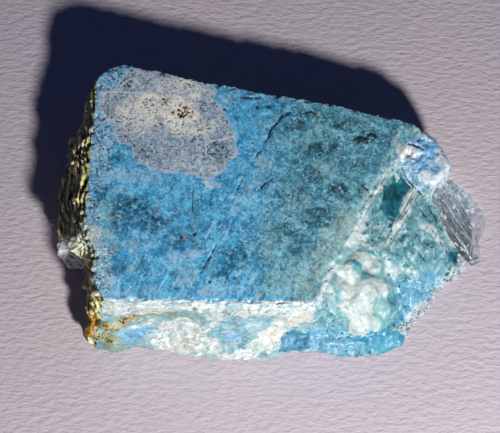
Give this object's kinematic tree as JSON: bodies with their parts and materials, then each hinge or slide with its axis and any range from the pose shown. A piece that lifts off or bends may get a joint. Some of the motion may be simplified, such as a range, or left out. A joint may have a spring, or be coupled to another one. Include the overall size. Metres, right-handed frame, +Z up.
{
  "type": "larimar slab",
  "caption": "Small slab of blue larimar, sawn flat above and below, with broken sides, a clear calcite plate at one end and rounded knobs on the sloping break.",
  "frame": {"origin": "middle of the bounding box, on the level lower saw cut that the stone rests on", "axes": "+X along the stone towards the sloping end with the calcite plate, +Y towards the plain broken back, +Z up, out of the upper saw cut"},
  "size_m": [0.045, 0.03, 0.0089],
  "materials": {
    "larimar": "satin",
    "calcite": "gloss"
  },
  "bodies": {
    "root": {"larimar": "larimar"}
  },
  "joints": []
}
